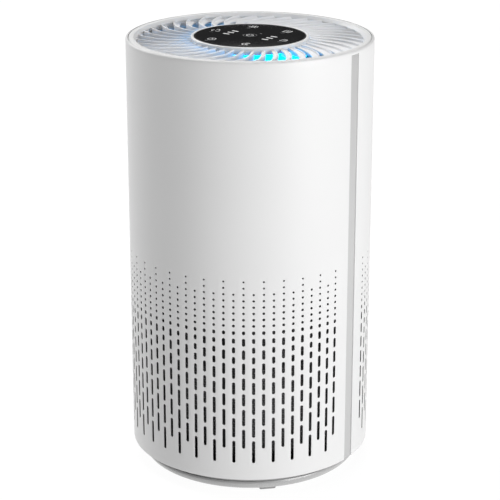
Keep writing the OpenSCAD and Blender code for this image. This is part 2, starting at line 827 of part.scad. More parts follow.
// Small figure-of-eight appliance inlet
pin_gap = 8.6;
socket_deep = 12;
module power_inlet() {
    plate_t = 1.6;
    color(black) difference() {
        union() {
            at_angle(inlet_angle) translate([-inlet_w / 2, -inlet_front, inlet_z - inlet_h / 2])
                cube([inlet_w, plate_t, inlet_h]);
            at_angle(inlet_angle) translate([-10, -inlet_front, inlet_z - 6.5])
                cube([20, inlet_front - inlet_back, 13]);
        }
        for (x = [-pin_gap / 2, pin_gap / 2])
            at_angle(inlet_angle, inlet_front + 1) translate([x, 0, inlet_z])
                rotate([-90, 0, 0]) cylinder(r = 3.9, h = socket_deep + 1);
        at_angle(inlet_angle) translate([-pin_gap / 2, -inlet_front - 1, inlet_z - 3.4])
            cube([pin_gap, socket_deep + 1, 6.8]);
    }
}

module inlet_pins() {
    color(steel) for (x = [-pin_gap / 2, pin_gap / 2])
        at_angle(inlet_angle, inlet_front - 3) translate([x, 0, inlet_z])
            rotate([-90, 0, 0]) cylinder(r = 1.2, h = socket_deep - 3, $fn = 32);
}

// Lead inside the body: up beside the duct, then through the mount's tube to the board
module power_lead() {
    low = inlet_z + 9;
    high = lead_z;
    color(black) {
        at_angle(inlet_angle, lead_path_r) {
            translate([0, 0, low]) cylinder(r = lead_r, h = high - low, $fn = 24);
            translate([0, 0, high]) sphere(r = lead_r, $fn = 24);
            translate([0, 0, low]) sphere(r = lead_r, $fn = 24);
        }
        at_angle(inlet_angle, lead_end_r) translate([0, 0, lead_z])
            rotate([90, 0, 0]) cylinder(r = lead_r, h = lead_path_r - lead_end_r, $fn = 24);
        at_angle(inlet_angle, lead_end_r) translate([0, 0, lead_z]) sphere(r = lead_r, $fn = 24);
        at_angle(inlet_angle, lead_end_r) translate([0, 0, lead_z])
            cylinder(r = lead_r, h = board_z - lead_z, $fn = 24);
        at_angle(inlet_angle, lead_path_r) translate([0, 0, low])
            rotate([-90, 0, 0]) cylinder(r = lead_r, h = lead_path_r - 90, $fn = 24);
        at_angle(inlet_angle, 90) translate([0, 0, low]) sphere(r = lead_r, $fn = 24);
        at_angle(inlet_angle, 90) translate([0, 0, inlet_z + 6.5])
            cylinder(r = lead_r, h = low - inlet_z - 6.5, $fn = 24);
    }
}

// ---- Twist-off cover ----

// Rounded dish with a finger grip underneath and bayonet lugs on its collar
module base_cover() {
    top = shell_z - 0.2;
    wall = 2.2;
    round_w = 7.5;
    round_h = 9;
    support_r = 72;
    flat_r = base_r - round_w;
    groove_z = base_z + round_h - 0.4;
    groove_r = base_r - 1.8;
    lip_r = groove_r - 1.2;
    grip_r = 32;
    grip_bar = 14;
    grip_top = base_z + 10;
    function bowl(inset, last) = [for (a = [-90 : 15 : last])
        [flat_r + (round_w - inset) * cos(a), base_z + inset + (round_h - inset) * (1 + sin(a))]];
    inner = bowl(wall, 0);
    color(light_grey) {
        difference() {
            rotate_extrude() polygon(concat([[0, base_z]], bowl(0, -15),
                [[base_r, groove_z], [groove_r, groove_z], [groove_r, top], [lip_r, top],
                    [lip_r, groove_z + 0.9]],
                [for (i = [len(inner) - 1 : -1 : 0]) inner[i]], [[0, base_z + wall]]));
            difference() {
                translate([0, 0, base_z - 1]) cylinder(r = grip_r, h = wall + 2);
                translate([-grip_r, -grip_bar / 2, base_z - 2]) cube([2 * grip_r, grip_bar, wall + 4]);
            }
        }
        difference() {
            ring(0, grip_r + 2, base_z + 1, grip_top + 2);
            difference() {
                translate([0, 0, base_z]) cylinder(r = grip_r, h = grip_top - base_z);
                translate([-grip_r - 1, -grip_bar / 2, base_z - 1])
                    cube([2 * grip_r + 2, grip_bar, grip_top - base_z + 2]);
            }
        }
        ring(collar_r - collar_t, collar_r, base_z + 1, lug_z + lug_h);
        ring(support_r - 2, support_r, base_z + 1, filter_z - move_gap);
        for (i = [0 : lug_count - 1])
            turned(i * 360 / lug_count + 45, lug_angle)
                band(collar_r - 0.5, lug_r, lug_z, lug_z + lug_h);
    }
}

// Rounded pad on the cover's underside, wider than it is deep
foot_w = 14;
foot_d = 10;
foot_corner = 1.6;
foot_inset = 6.5;
module foot(angle) {
    color(light_grey) at_angle(angle, base_r - foot_inset - foot_d / 2) {
        for (x = [-1, 1]) for (y = [-1, 1])
            translate([x * (foot_w / 2 - foot_corner), y * (foot_d / 2 - foot_corner), 0])
                cylinder(r = foot_corner, h = foot_h, $fn = 32);
        translate([-foot_w / 2 + foot_corner, -foot_d / 2, 0])
            cube([foot_w - 2 * foot_corner, foot_d, foot_h]);
        translate([-foot_w / 2, -foot_d / 2 + foot_corner, 0])
            cube([foot_w, foot_d - 2 * foot_corner, foot_h]);
    }
}

module foot_front_right() {
    foot(45);
}

module foot_rear_right() {
    foot(135);
}

module foot_rear_left() {
    foot(225);
}

module foot_front_left() {
    foot(315);
}

front_shell();
rear_shell();
seam_trim_left();
seam_trim_right();
top_ring();
outlet_grille();
panel_bezel();
panel_glass();
icon_film();
panel_cup();
touch_board();
touch_springs();
light_ring();
led_board();
hub_column();
power_board();
air_duct();
duct_screws();
fan_deck();
inlet_guard();
inlet_nozzle();
motor_mount();
mount_screws();
motor_stator();
motor_windings();
lower_bearing();
upper_bearing();
motor_rotor();
rotor_magnets();
motor_shaft();
fan_impeller();
impeller_nut();
filter_cage();
base_ring();
shell_screws();
power_inlet();
inlet_pins();
power_lead();
filter_media();
filter_carbon();
filter_sleeve();
filter_top_cap();
filter_bottom_cap();
filter_gasket();
filter_tab();
base_cover();
foot_front_right();
foot_rear_right();
foot_rear_left();
foot_front_left();
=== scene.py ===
"""Tower air purifier: visual pieces, materials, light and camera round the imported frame.

Lengths inside the script are millimetres unless a name says otherwise. Angles of the body are
in degrees from the front (-Y) and grow towards +X, so a point stands at (r sin a, -r cos a, z).
"""
import json
import math

import bmesh
import bpy
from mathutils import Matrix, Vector, geometry


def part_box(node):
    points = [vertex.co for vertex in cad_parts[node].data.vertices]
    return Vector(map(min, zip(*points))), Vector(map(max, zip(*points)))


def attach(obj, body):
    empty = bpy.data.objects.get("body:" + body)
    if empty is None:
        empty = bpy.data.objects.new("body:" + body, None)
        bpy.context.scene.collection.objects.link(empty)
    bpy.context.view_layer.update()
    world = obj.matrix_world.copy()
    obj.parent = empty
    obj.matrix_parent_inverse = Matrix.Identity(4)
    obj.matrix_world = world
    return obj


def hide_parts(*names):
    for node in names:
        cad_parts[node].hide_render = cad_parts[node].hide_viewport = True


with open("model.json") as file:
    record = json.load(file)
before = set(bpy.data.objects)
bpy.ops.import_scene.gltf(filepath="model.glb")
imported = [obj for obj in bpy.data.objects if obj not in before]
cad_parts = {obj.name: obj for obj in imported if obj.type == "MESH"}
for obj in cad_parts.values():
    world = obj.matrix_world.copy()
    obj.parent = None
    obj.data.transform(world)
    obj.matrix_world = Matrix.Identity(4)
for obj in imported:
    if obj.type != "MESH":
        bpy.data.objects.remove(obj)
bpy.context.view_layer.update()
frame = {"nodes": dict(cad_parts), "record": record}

MM = 0.001


def extent(node):
    """A node's lowest and highest corner, in millimetres."""
    low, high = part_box(node)
    return [v / MM for v in low], [v / MM for v in high]


# ---- Sizes taken from the frame ----

shell_low, shell_high = extent("front_shell")
BODY_R = -shell_low[1]
SHELL_Z = shell_low[2]
RIM_Z = shell_high[2]
INSIDE_R = extent("top_ring")[1][0] + 0.1
WALL = BODY_R - INSIDE_R
HUB_R = extent("panel_bezel")[1][0]
GLASS_R = extent("panel_glass")[1][0]
GUIDE_LOW, GUIDE_HIGH = extent("light_ring")[0][2], extent("light_ring")[1][2]
VANE_TOP = extent("outlet_grille")[1][2]
BASE_LOW, BASE_HIGH = extent("base_cover")[0][2], extent("base_cover")[1][2]
BASE_R = extent("base_cover")[1][0]
INLET_LOW, INLET_HIGH = extent("power_inlet")

# ---- Sizes of the details ----

# Half shells and trim strips.
RIM_ROUND = 1.8
SEAM_W = 11.0
NOTCH_DROP = 3.0

# Openings. The columns stand COLUMN_STEP degrees apart, SIDE_COLUMNS on each side of the middle
# one. Dots grow from row to row, and a short column lacks the first rows. Each list holds the
# heights of a column's slots, from the top down.
COLUMN_STEP = 4.6
SIDE_COLUMNS = 17
DOT_TOP = 175.0
DOT_PITCH = 5.4
DOT_D = 1.6
DOT_GROWTH = 0.11
DOT_ROWS = 8
SKIPPED_ROWS = 2
SLOT_W = 2.6
SLOT_GAP = 3.2
LONG_COLUMN = [3.3, 6.8, 8.4, 9.9, 10.8, 10.8, 14.6, 17.2]
SHORT_COLUMN = [3.3, 4.4, 5.3, 6.2, 9.9, 10.8, 14.5, 17.4, 19.9]

# Base cover and feet. The cover's wall leans in from LEAN_LOW_Z up to the groove below its lip.
COVER_WALL = 2.2
COVER_ROUND_W = 7.5
COVER_ROUND_H = 9.0
COVER_EDGE = SHELL_Z - 0.2
GROOVE_Z = BASE_LOW + COVER_ROUND_H - 0.6
GROOVE_R = BASE_R - 1.8
LEAN_TOP_R = BASE_R - 0.85
LEAN_LOW_R = BASE_R - 0.25
LEAN_LOW_Z = GROOVE_Z - 1.9
GRIP_R = 32.0
GRIP_BAR = 14.0
GRIP_TOP = BASE_LOW + 10
COLLAR_OUT = 87.5
SUPPORT_OUT = 72.0
SUPPORT_TOP = extent("filter_bottom_cap")[0][2] - 0.4
LUG_OUT = 90.7
LUG_H = 2.6
LUG_ANGLE = 16.0
FOOT_W = 14.0
FOOT_D = 10.0
FOOT_CORNER = 1.6
FOOT_R = BASE_R - 6.5 - FOOT_D / 2

# Vane ring. A vane grows wider and falls lower on its way out, and sweeps back by VANE_SWEEP
# degrees for each body radius and for its square.
DUCT_R = 93.3
VANE_COUNT = 38
VANE_T = 1.3
VANE_H = 6.3
FLANGE_T = 1.3
VANE_IN = HUB_R + 0.1
VANE_OUT = DUCT_R + 0.1
VANE_PHASE = 1.1
VANE_SWEEP = (6.3, 71.5)
VANE_ANGLE = 3.0
VANE_ANGLE_GROWTH = 0.0435
VANE_FALL = 0.5
VANE_FALL_GROWTH = 3.0
VANE_FALL_POWER = 1.6
GRILLE_DROP = 8.4
COLLAR_H = 3.2


def polar(radius, angle, z=0.0):
    """A point at a radius and an angle from the body's axis."""
    turn = math.radians(angle)
    return Vector((radius * math.sin(turn), -radius * math.cos(turn), z))


# ---- Camera ----

CAMERA_ANGLE = 35.15
CAMERA_REACH = 1438.8
CAMERA_HEIGHT = 674.7
CAMERA_PITCH = 18.84
CAMERA_LENS = 127.67

camera_data = bpy.data.cameras.new("camera")
camera_data.lens = CAMERA_LENS
camera_data.sensor_width = 36
camera_data.clip_start = 0.01
camera_data.clip_end = 60
camera = bpy.data.objects.new("camera", camera_data)
bpy.context.scene.collection.objects.link(camera)
camera.location = polar(CAMERA_REACH, CAMERA_ANGLE, CAMERA_HEIGHT) * MM
camera.rotation_euler = (math.radians(90 - CAMERA_PITCH), 0, math.radians(CAMERA_ANGLE))
bpy.context.scene.camera = camera
bpy.context.scene.view_settings.view_transform = "Standard"


# ---- Materials ----

def nodes_of(material):
    return material.node_tree.nodes, material.node_tree.links


def new_material(name, colour, roughness, metallic=0.0, specular=0.5):
    """A principled material with plain numbers on the shader's own sockets."""
    material = bpy.data.materials.new(name)
    material.use_nodes = True
    shader = material.node_tree.nodes["Principled BSDF"]
    shader.inputs["Base Color"].default_value = (*colour, 1)
    shader.inputs["Roughness"].default_value = roughness
    shader.inputs["Metallic"].default_value = metallic
    shader.inputs["Specular IOR Level"].default_value = specular
    material.diffuse_color = (*colour, 1)
    return material, shader


def noise(material, scale, detail=2.0, stretch=(1, 1, 1)):
    """Noise in object space; scale is in features per metre."""
    nodes, links = nodes_of(material)
    place = nodes.new("ShaderNodeTexCoord")
    mapping = nodes.new("ShaderNodeMapping")
    mapping.inputs["Scale"].default_value = stretch
    texture = nodes.new("ShaderNodeTexNoise")
    texture.inputs["Scale"].default_value = scale
    texture.inputs["Detail"].default_value = detail
    links.new(place.outputs["Object"], mapping.inputs["Vector"])
    links.new(mapping.outputs["Vector"], texture.inputs["Vector"])
    return texture.outputs["Fac"]


def spread(material, value, low, high):
    """Maps a 0 to 1 value onto low to high."""
    nodes, links = nodes_of(material)
    span = nodes.new("ShaderNodeMapRange")
    span.inputs["To Min"].default_value = low
    span.inputs["To Max"].default_value = high
    links.new(value, span.inputs["Value"])
    return span.outputs["Result"]


def blend_colours(material, value, first, second):
    """Blends from one colour to the other as a 0 to 1 value grows."""
    nodes, links = nodes_of(material)
    ramp = nodes.new("ShaderNodeValToRGB")
    ramp.color_ramp.elements[0].color = (*first, 1)
    ramp.color_ramp.elements[1].color = (*second, 1)
    ramp.color_ramp.elements[0].position = 0.3
    ramp.color_ramp.elements[1].position = 0.7
    links.new(value, ramp.inputs["Fac"])
    return ramp.outputs["Color"]


def bump(material, shader, height, strength, distance):
    """Relief from a height; distance is in metres."""
    nodes, links = nodes_of(material)
    relief = nodes.new("ShaderNodeBump")
    relief.inputs["Strength"].default_value = strength
    relief.inputs["Distance"].default_value = distance
    links.new(height, relief.inputs["Height"])
    links.new(relief.outputs["Normal"], shader.inputs["Normal"])


def moulded(name, colour, roughness, specular=0.5, drift=0.015, grain=0.02):
    """Moulded plastic: a faint drift of colour, uneven gloss and a fine eroded grain."""
    material, shader = new_material(name, colour, roughness, specular=specular)
    links = material.node_tree.links
    slow = noise(material, 14.0)
    fine = noise(material, 2600.0, 3.0)
    darker = tuple(c * (1 - drift) for c in colour)
    links.new(blend_colours(material, slow, darker, colour), shader.inputs["Base Color"])
    links.new(spread(material, fine, roughness - 0.03, roughness + 0.05), shader.inputs["Roughness"])
    bump(material, shader, fine, grain, 0.0001)
    return material


def paint_shade_by_depth(material, dark):
    """Painted shade: blends the base colour to a dark one where the mesh's depth attribute is 1."""
    nodes, links = nodes_of(material)
    shader = nodes["Principled BSDF"]
    depth = nodes.new("ShaderNodeAttribute")
    depth.attribute_name = "depth"
    blend = nodes.new("ShaderNodeMix")
    blend.data_type = "RGBA"
    links.new(depth.outputs["Fac"], blend.inputs["Factor"])
    links.new(shader.inputs["Base Color"].links[0].from_socket, blend.inputs["A"])
    blend.inputs["B"].default_value = (*dark, 1)
    links.new(blend.outputs["Result"], shader.inputs["Base Color"])


def metal(name, colour, roughness, lines=(1, 1, 1)):
    """Metal with fine marks in its gloss; lines stretches the marks along an axis."""
    material, shader = new_material(name, colour, roughness, metallic=1.0)
    links = material.node_tree.links
    brushed = noise(material, 900.0, 2.0, lines)
    links.new(spread(material, brushed, roughness - 0.08, roughness + 0.12), shader.inputs["Roughness"])
    bump(material, shader, brushed, 0.05, 0.0001)
    return material


def woven(name, colour, pitch_mm, roughness=0.9):
    """Two crossed sets of threads, seen as relief and as light and dark."""
    material, shader = new_material(name, colour, roughness, specular=0.2)
    nodes, links = nodes_of(material)
    place = nodes.new("ShaderNodeTexCoord")
    total = nodes.new("ShaderNodeMath")
    total.operation = "MULTIPLY"
    for slot, direction in enumerate(("DIAGONAL", "Z")):
        wave = nodes.new("ShaderNodeTexWave")
        wave.bands_direction = direction
        wave.inputs["Scale"].default_value = 1000 / pitch_mm / 6.28
        wave.inputs["Distortion"].default_value = 0.4
        links.new(place.outputs["Object"], wave.inputs["Vector"])
        links.new(wave.outputs["Fac"], total.inputs[slot])
    darker = tuple(c * 0.5 for c in colour)
    links.new(blend_colours(material, total.outputs[0], darker, colour), shader.inputs["Base Color"])
    bump(material, shader, total.outputs[0], 0.4, 0.0002)
    return material


def granular(name, colour, size_mm, roughness=0.85):
    """Grains of one size, lighter towards their edges, with a relief to match."""
    material, shader = new_material(name, colour, roughness, specular=0.3)
    nodes, links = nodes_of(material)
    place = nodes.new("ShaderNodeTexCoord")
    cells = nodes.new("ShaderNodeTexVoronoi")
    cells.inputs["Scale"].default_value = 1000 / size_mm
    links.new(place.outputs["Object"], cells.inputs["Vector"])
    lighter = tuple(min(1, c * 1.8 + 0.02) for c in colour)
    shade = blend_colours(material, cells.outputs["Distance"], colour, lighter)
    links.new(shade, shader.inputs["Base Color"])
    bump(material, shader, cells.outputs["Distance"], 0.6, 0.0005)
    return material


def glowing(name, base, colour, strength):
    """A light guide or a lit print: tinted plastic that gives off light, a little unevenly."""
    material, shader = new_material(name, base, 0.4)
    links = material.node_tree.links
    cloudy = noise(material, 60.0)
    tint = tuple(c * 0.92 for c in colour)
    links.new(blend_colours(material, cloudy, tint, colour), shader.inputs["Emission Color"])
    shader.inputs["Emission Strength"].default_value = strength
    return material


def smeared_glass(name, colour, smear_colour):
    """Black-backed glass: a deep tone with a faint smear in its gloss."""
    material, shader = new_material(name, colour, 0.12, specular=0.3)
    links = material.node_tree.links
    smear = noise(material, 35.0, 4.0)
    links.new(spread(material, smear, 0.09, 0.15), shader.inputs["Roughness"])
    links.new(blend_colours(material, smear, colour, smear_colour), shader.inputs["Base Color"])
    return material


# Painted shade for the walls of the shell's holes and for its back, which are the shell's own white
# plastic.
PAINTED_HOLE_SHADE = (0.10, 0.10, 0.10)

MATERIALS = {
    "shell_white": moulded("shell_white", (0.72, 0.72, 0.72), 0.42, grain=0.03),
    "trim_grey": moulded("trim_grey", (0.50, 0.50, 0.50), 0.5),
    "grille_white": moulded("grille_white", (0.86, 0.86, 0.87), 0.45),
    "base_grey": moulded("base_grey", (0.39, 0.39, 0.39), 0.26, specular=0.75, drift=0.005),
    "inner_plastic": moulded("inner_plastic", (0.05, 0.05, 0.052), 0.6, grain=0.05),
    "duct_plastic": moulded("duct_plastic", (0.55, 0.56, 0.58), 0.55),
    "impeller_white": moulded("impeller_white", (0.80, 0.80, 0.80), 0.45),
    "socket_black": moulded("socket_black", (0.012, 0.012, 0.012), 0.45, grain=0.06),
    "filter_cap": moulded("filter_cap", (0.07, 0.072, 0.078), 0.6),
    "lead_black": moulded("lead_black", (0.012, 0.012, 0.012), 0.5, grain=0.1),
    "foot_rubber": moulded("foot_rubber", (0.28, 0.28, 0.28), 0.75, specular=0.3, grain=0.15),
    "seal_foam": granular("seal_foam", (0.02, 0.02, 0.02), 0.8),
    "board_green": moulded("board_green", (0.012, 0.09, 0.045), 0.3, drift=0.2),
    "plain_steel": metal("plain_steel", (0.62, 0.63, 0.65), 0.32),
    "magnet": metal("magnet", (0.10, 0.10, 0.11), 0.5),
    "copper_wire": metal("copper_wire", (0.72, 0.30, 0.12), 0.35, lines=(1, 1, 12)),
    "filter_paper": woven("filter_paper", (0.78, 0.76, 0.70), 0.9),
    "filter_mesh": woven("filter_mesh", (0.30, 0.30, 0.305), 1.1),
    "webbing": woven("webbing", (0.05, 0.12, 0.32), 1.0),
    "filter_charcoal": granular("filter_charcoal", (0.012, 0.012, 0.012), 1.6),
    "light_guide": glowing("light_guide", (0.01, 0.25, 0.35), (0.0, 0.42, 1.0), 6.5),
    "icon_print": glowing("icon_print", (0.45, 0.45, 0.45), (1.0, 1.0, 1.0), 0.55),
    "panel_black": smeared_glass("panel_black", (0.014, 0.014, 0.015), (0.018, 0.018, 0.019)),
}

# Finishes of single pieces whose slot names another material. The ring's and the bezel's whites are
# lighter copies of the shell's white, which paints light onto them.
FINISHES_AND_PAINTED_LIGHT = {
    "ring_white_painted_light": moulded("ring_white_painted_light", (0.80, 0.80, 0.80), 0.42),
    "bezel_white_painted_light": moulded("bezel_white_painted_light", (0.90, 0.90, 0.90), 0.35),
    "faint_print": moulded("faint_print", (0.13, 0.13, 0.13), 0.5),
    "border_black": moulded("border_black", (0.002, 0.002, 0.002), 0.5, specular=0.1),
}
# Paints shade into the shell's white where its depth attribute is 1: in the holes and on the back.
paint_shade_by_depth(MATERIALS["shell_white"], PAINTED_HOLE_SHADE)

for part in frame["record"]["subparts"]:
    cad_object = frame["nodes"][part["node"]]
    cad_object.data.materials.clear()
    cad_object.data.materials.append(MATERIALS[part["material_slot"]])


# ---- Mesh helpers ----

def finish_piece(bm, name, slot, body, sharp=32.0, finish=None, node=None):
    """Turns a bmesh in millimetres into a piece that rides on a body, in place of a node if given.

    The slot gives the material, unless a finish is named. Edges bent by more than sharp degrees
    stay crisp.
    """
    bmesh.ops.scale(bm, vec=(MM, MM, MM), verts=bm.verts)
    mesh = bpy.data.meshes.new(name)
    bm.to_mesh(mesh)
    bm.free()
    mesh.shade_smooth()
    mesh.set_sharp_from_angle(angle=math.radians(sharp))
    piece = bpy.data.objects.new(name, mesh)
    bpy.context.scene.collection.objects.link(piece)
    mesh.materials.append(FINISHES_AND_PAINTED_LIGHT[finish] if finish else MATERIALS[slot])
    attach(piece, body)
    if node:
        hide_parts(node)


def rounded(corners, steps=4):
    """A closed outline from (r, z, radius) corners, each rounded by an arc of its radius."""
    points = []
    count = len(corners)
    for i, (r, z, radius) in enumerate(corners):
        here = Vector((r, z))
        before = Vector(corners[i - 1][:2]) - here
        after = Vector(corners[(i + 1) % count][:2]) - here
        if radius <= 0:
            points.append(here)
            continue
        half = before.angle(after) / 2
        cut = min(radius / math.tan(half), before.length * 0.49, after.length * 0.49)
        radius = cut * math.tan(half)
        inwards = (before.normalized() + after.normalized()).normalized()
        middle = here + inwards * (radius / math.sin(half))
        start = here + before.normalized() * cut - middle
        end = here + after.normalized() * cut - middle
        turn = start.angle_signed(end)
        for step in range(steps + 1):
            part = -turn * step / steps
            arm = Vector((start.x * math.cos(part) - start.y * math.sin(part),
                          start.x * math.sin(part) + start.y * math.cos(part)))
            points.append(middle + arm)
    return [(p.x, p.y) for p in points]


def face_ring(bm, here, there):
    """Faces between two closed rows of vertices, which may share vertices on the axis."""
    size = len(here)
    for k in range(size):
        following = (k + 1) % size
        corners = dict.fromkeys((here[k], there[k], there[following], here[following]))
        if len(corners) > 2:
            bm.faces.new(list(corners))


def close_rows(bm, rows):
    """Joins rows of vertices into a closed body with a face at either end."""
    for here, there in zip(rows, rows[1:]):
        face_ring(bm, here, there)
    bm.faces.new(rows[0])
    bm.faces.new(list(reversed(rows[-1])))


def lathe(bm, outline, first=0.0, last=360.0, segments=192):
    """Turns a closed outline of (r, z) about the axis, from one angle to another."""
    closed = last - first >= 360
    count = segments if closed else segments + 1
    on_axis = {k: bm.verts.new((0, 0, z)) for k, (r, z) in enumerate(outline) if r == 0}
    rings = []
    for i in range(count):
        angle = first + (last - first) * i / segments
        rings.append([on_axis.get(k) or bm.verts.new(polar(r, angle, z))
                      for k, (r, z) in enumerate(outline)])
    for i in range(segments):
        face_ring(bm, rings[i], rings[(i + 1) % count])
    if not closed:
        bm.faces.new(rings[0])
        bm.faces.new(list(reversed(rings[-1])))
    bmesh.ops.recalc_face_normals(bm, faces=bm.faces)


def turned_piece(name, outline, slot, finish=None, node=None):
    """A round piece of the housing, turned from a closed (r, z) outline."""
    bm = bmesh.new()
    lathe(bm, outline)
    finish_piece(bm, name, slot, "housing", finish=finish, node=node)


# ---- Perforated shells ----

BEVEL_STEPS = 3
HOLE_BEVEL = 0.14
EDGE_BEVEL = 0.35
LIP_BEVEL = 0.4
# A hole is straight down to the depth of LAND, then opens by FLARE on its way in.
LAND = 0.4
FLARE = 0.95
SUPPORT_ANGLE = COLUMN_STEP / 2
SUPPORT_RISE = 6
EDGE_ANGLE = COLUMN_STEP / 4


class Outline:
    """A closed line on the unrolled shell.

    Each point has its place along the arc and up, the way its edge is rounded off towards the
    opening, and the radius of that rounding.
    """

    def __init__(self):
        self.points = []

    def add(self, s, z, out_s, out_z, radius):
        self.points.append((s, z, out_s, out_z, radius))


def capsule(s, low, high, width, steps=9):
    """The outline of a slot with round ends."""
    line = Outline()
    radius = width / 2
    for middle, start in ((high - radius, 0), (low + radius, 180)):
        for i in range(steps + 1):
            turn = math.radians(start + 180 * i / steps)
            c, d = math.cos(turn), math.sin(turn)
            reach = radius + HOLE_BEVEL
            line.add(s + reach * c, middle + reach * d, -c * HOLE_BEVEL, -d * HOLE_BEVEL, HOLE_BEVEL)
    return line


def dot(s, z, width, steps=14):
    """The outline of a round hole."""
    line = Outline()
    reach = width / 2 + HOLE_BEVEL
    for i in range(steps):
        turn = 2 * math.pi * i / steps
        c, d = math.cos(turn), math.sin(turn)
        line.add(s + reach * c, z + reach * d, -c * HOLE_BEVEL, -d * HOLE_BEVEL, HOLE_BEVEL)
    return line


# A rectangle's corners, counter-clockwise: side in x, side in y, angle its round starts at.
CORNERS = ((1, 1, 0), (-1, 1, 90), (-1, -1, 180), (1, -1, 270))


def window(s, z, width, height, corner=0.8, round_steps=4, edge_steps=8):
    """A rectangular opening with small round corners, cut fine enough to follow the shell."""
    line = Outline()
    half_w, half_h = width / 2 - corner, height / 2 - corner
    reach = corner + HOLE_BEVEL
    for k, (x, y, start) in enumerate(CORNERS):
        for i in range(round_steps + 1):
            turn = math.radians(start + 90 / round_steps * i)
            c, d = math.cos(turn), math.sin(turn)
            line.add(s + x * half_w + reach * c, z + y * half_h + reach * d,
                     -c * HOLE_BEVEL, -d * HOLE_BEVEL, HOLE_BEVEL)
        if k % 2 == 0:
            for i in range(1, edge_steps):
                along = half_w * (1 - 2 * i / edge_steps) * y
                line.add(s + along, z + y * (half_h + reach), 0, -y * HOLE_BEVEL, HOLE_BEVEL)
    return line


def column_openings(s, rows, slots, keep_out):
    """The openings of one column; slots that would meet the keep_out heights are left out."""
    last_dot = SHELL_Z + DOT_TOP - (DOT_ROWS - 1) * DOT_PITCH
    top = last_dot - DOT_D / 2 - (DOT_ROWS - 1) * DOT_GROWTH / 2 - SLOT_GAP
    for row in range(DOT_ROWS - rows, DOT_ROWS):
        yield dot(s, SHELL_Z + DOT_TOP - row * DOT_PITCH, DOT_D + row * DOT_GROWTH)
    for length in slots:
        low = top - length
        if keep_out is None or low > keep_out[1] or top < keep_out[0]:
            yield capsule(s, low, top, SLOT_W)
        top = low - SLOT_GAP


def arc_length(angle):
    """The way along the shell's outside for an angle in degrees."""
    return BODY_R * math.radians(angle)


def shell_border():
    """The outer edge of a half shell, half its width, and the height where it grows wider.

    It has its full width at the rim and is cut back at the trim strips below.
    """
    line = Outline()
    cut_angle = math.degrees(math.asin(SEAM_W / 2 / BODY_R))
    side = arc_length(90 - cut_angle) - EDGE_BEVEL
    full = arc_length(90)
    notch_z = RIM_Z - NOTCH_DROP + EDGE_BEVEL
    round_z = RIM_Z - RIM_ROUND
    foot_z = SHELL_Z + EDGE_BEVEL
    steps = round((180 - 2 * cut_angle) / EDGE_ANGLE)
    for i in range(steps + 1):
        s = -side + 2 * side * i / steps
        out_s = {0: -EDGE_BEVEL, steps: EDGE_BEVEL}.get(i, 0)
        line.add(s, foot_z, out_s, -EDGE_BEVEL, EDGE_BEVEL)
    rise = 24
    for i in range(1, rise):
        line.add(side, foot_z + (notch_z - foot_z) * i / rise, EDGE_BEVEL, 0, EDGE_BEVEL)
    line.add(side, notch_z, EDGE_BEVEL, -EDGE_BEVEL, EDGE_BEVEL)
    line.add((side + full) / 2, notch_z, 0, -EDGE_BEVEL, EDGE_BEVEL)
    line.add(full, notch_z, 0, -EDGE_BEVEL, EDGE_BEVEL)
    steps = round(180 / EDGE_ANGLE)
    for i in range(steps + 1):
        line.add(full - 2 * full * i / steps, round_z, 0, RIM_ROUND, RIM_ROUND)
    line.add(-full, notch_z, 0, -EDGE_BEVEL, EDGE_BEVEL)
    line.add(-(side + full) / 2, notch_z, 0, -EDGE_BEVEL, EDGE_BEVEL)
    line.add(-side, notch_z, -EDGE_BEVEL, -EDGE_BEVEL, EDGE_BEVEL)
    for i in range(rise - 1, 0, -1):
        line.add(-side, foot_z + (notch_z - foot_z) * i / rise, -EDGE_BEVEL, 0, EDGE_BEVEL)
    return line, side, notch_z


def support_points(side, blocked):
    """Points that make the triangles follow the round wall, kept off the blocked rectangles."""
    points = []
    holes_low, holes_high = SHELL_Z + 12, SHELL_Z + DOT_TOP + 5
    count = math.floor(math.degrees(side / BODY_R) / SUPPORT_ANGLE)
    for i in range(-count, count + 1):
        s = arc_length(i * SUPPORT_ANGLE)
        if side - abs(s) < 1:
            continue
        z = SHELL_Z + SUPPORT_RISE
        while z < RIM_Z - SUPPORT_RISE:
            between = i % 2 != 0 or z > holes_high or z < holes_low
            free = all(abs(s - mid_s) > half_s or abs(z - mid_z) > half_z
                       for mid_s, mid_z, half_s, half_z in blocked)
            if between and free:
                points.append(Vector((s, z)))
            z += SUPPORT_RISE
    return points


def shell_triangles(loops, extra, side, notch_z):
    """The points of the unrolled shell and the triangles that fill it between its loops."""
    flat = []
    edges = []
    owner = []
    for number, line in enumerate(loops):
        first = len(flat)
        count = len(line.points)
        for i, point in enumerate(line.points):
            flat.append(Vector(point[:2]))
            owner.append(number)
            edges.append((first + i, first + (i + 1) % count))
    flat += extra
    owner += [None] * len(extra)
    _, _, faces, origin, _, _ = geometry.delaunay_2d_cdt(flat, edges, [], 0, 1e-4)
    if not all(origin):
        raise RuntimeError("the shell's outlines cross each other")

    triangles = []
    for face in faces:
        ids = [origin[v][0] for v in face]
        owners = {owner[v] for v in ids}
        middle = sum((flat[v] for v in ids), Vector((0, 0))) / 3
        in_hole = len(owners) == 1 and not owners & {None, 0}
        past_side = abs(middle.x) > side + 1e-4 and middle.y < notch_z - 1e-4
        past_end = middle.y > RIM_Z - RIM_ROUND or middle.y < SHELL_Z + EDGE_BEVEL
        if not (in_hole or past_side or (owners == {0} and past_end)):
            triangles.append(ids)
    return flat, triangles


